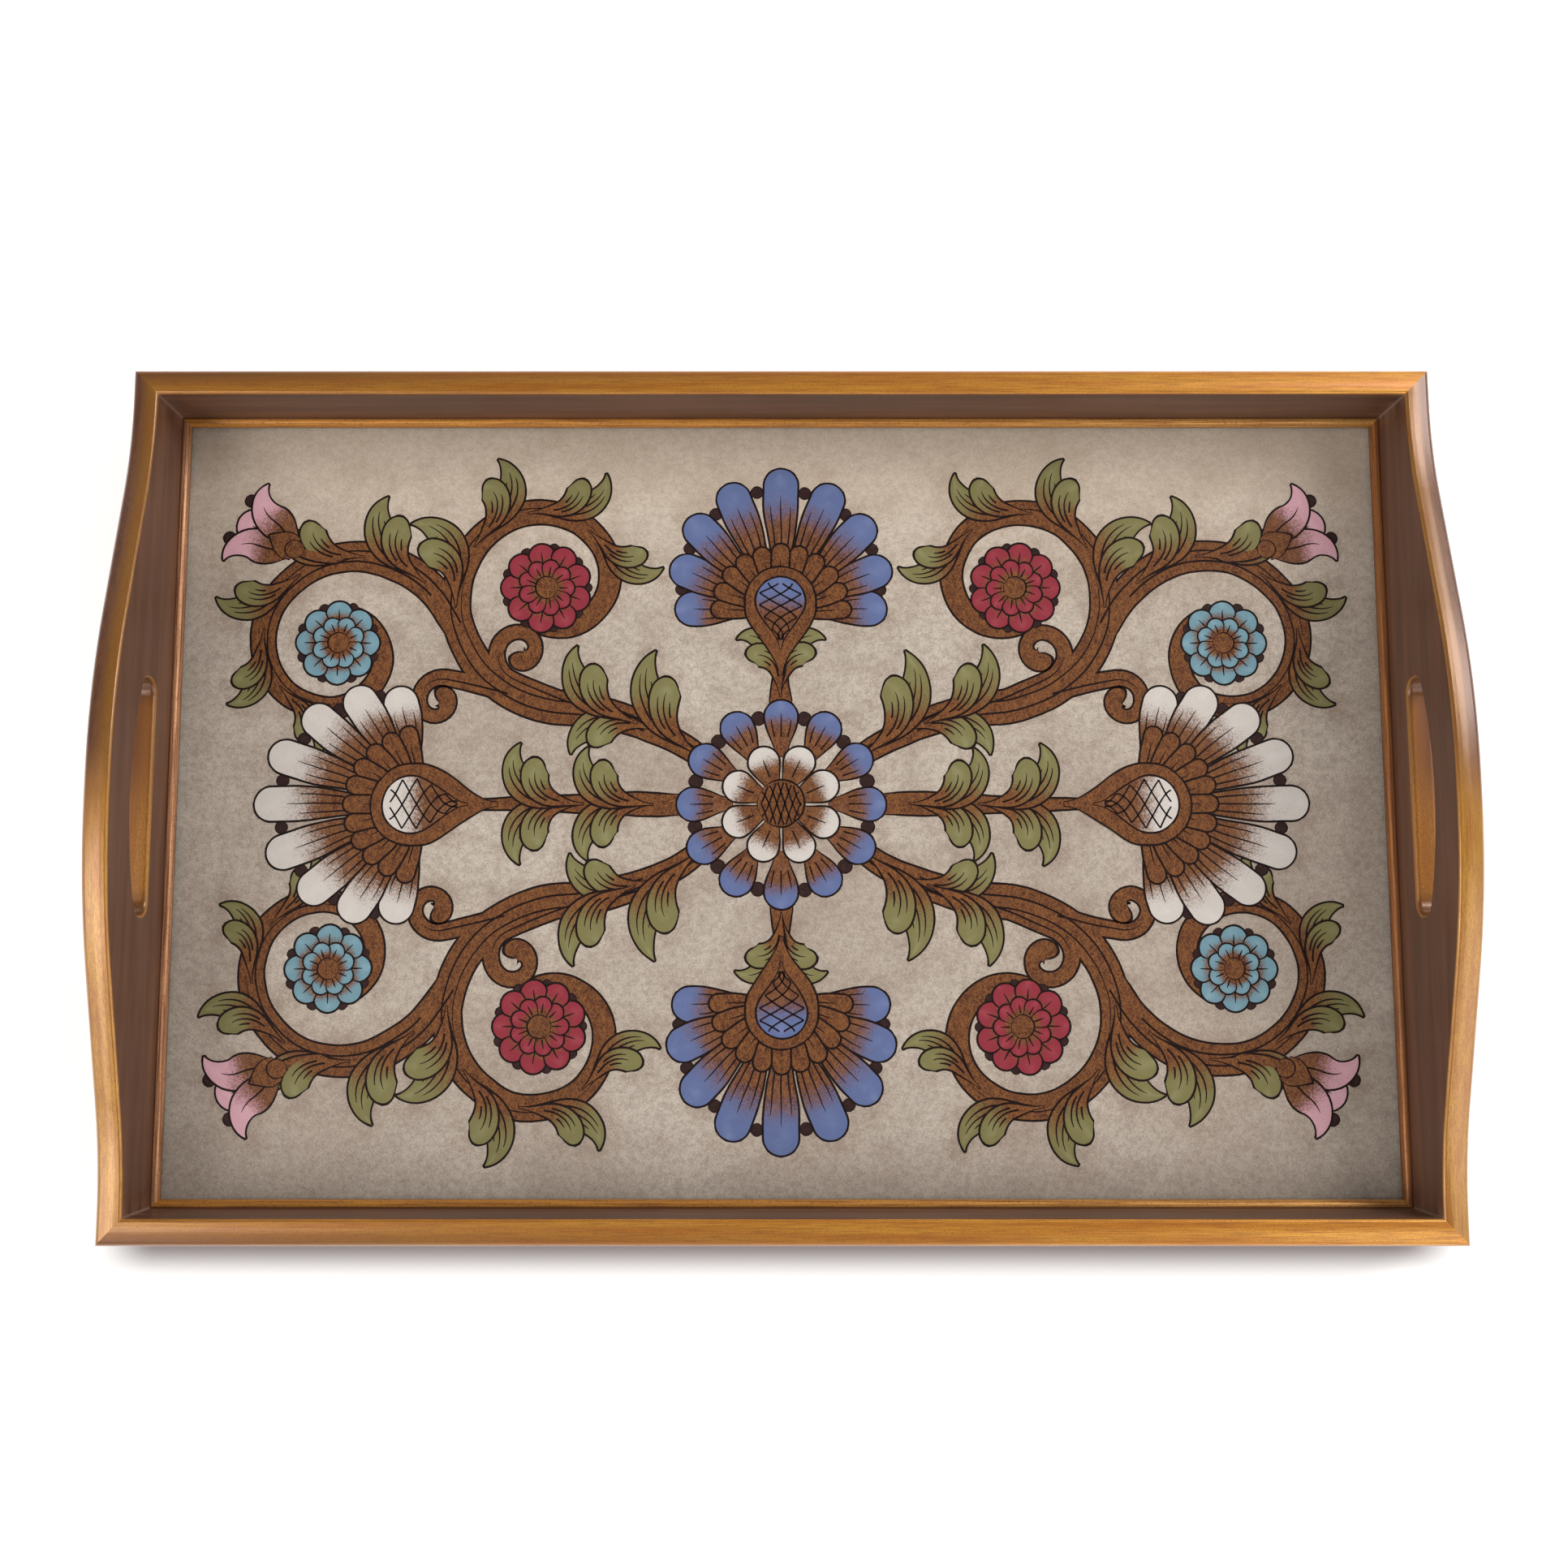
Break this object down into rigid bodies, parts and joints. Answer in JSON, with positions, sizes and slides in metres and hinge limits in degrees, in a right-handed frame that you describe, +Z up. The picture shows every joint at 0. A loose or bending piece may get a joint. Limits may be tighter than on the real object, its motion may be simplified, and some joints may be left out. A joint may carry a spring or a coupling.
{
  "type": "serving tray",
  "caption": "Rectangular wooden serving tray with mitred walls, ogee end boards pierced by hand slots, and a reverse-painted glass floor held by a gilt bead.",
  "frame": {"origin": "centre of the underside, on the plane that the tray rests on", "axes": "+X along the tray's length towards the right end board, +Y towards the back rail, +Z up"},
  "size_m": [0.5, 0.33, 0.072],
  "materials": {
    "frame_wood": "brown lacquer with brushed antique gold along the tops",
    "gilt_bead": "satin copper gold",
    "glass": "clear, polished",
    "paint_film": "painted scrollwork on a mottled stone-grey ground, seen through the glass",
    "base_panel": "stained and sealed plywood",
    "pin_steel": "bright drawn wire"
  },
  "bodies": {
    "root": {"front_rail": "frame_wood", "back_rail": "frame_wood", "left_end_board": "frame_wood", "right_end_board": "frame_wood", "front_bead": "gilt_bead", "back_bead": "gilt_bead", "left_bead": "gilt_bead", "right_bead": "gilt_bead", "glass_pane": "glass", "paint_film": "paint_film", "base_panel": "base_panel", "corner_pins": "pin_steel", "base_pins": "pin_steel"}
  },
  "joints": []
}
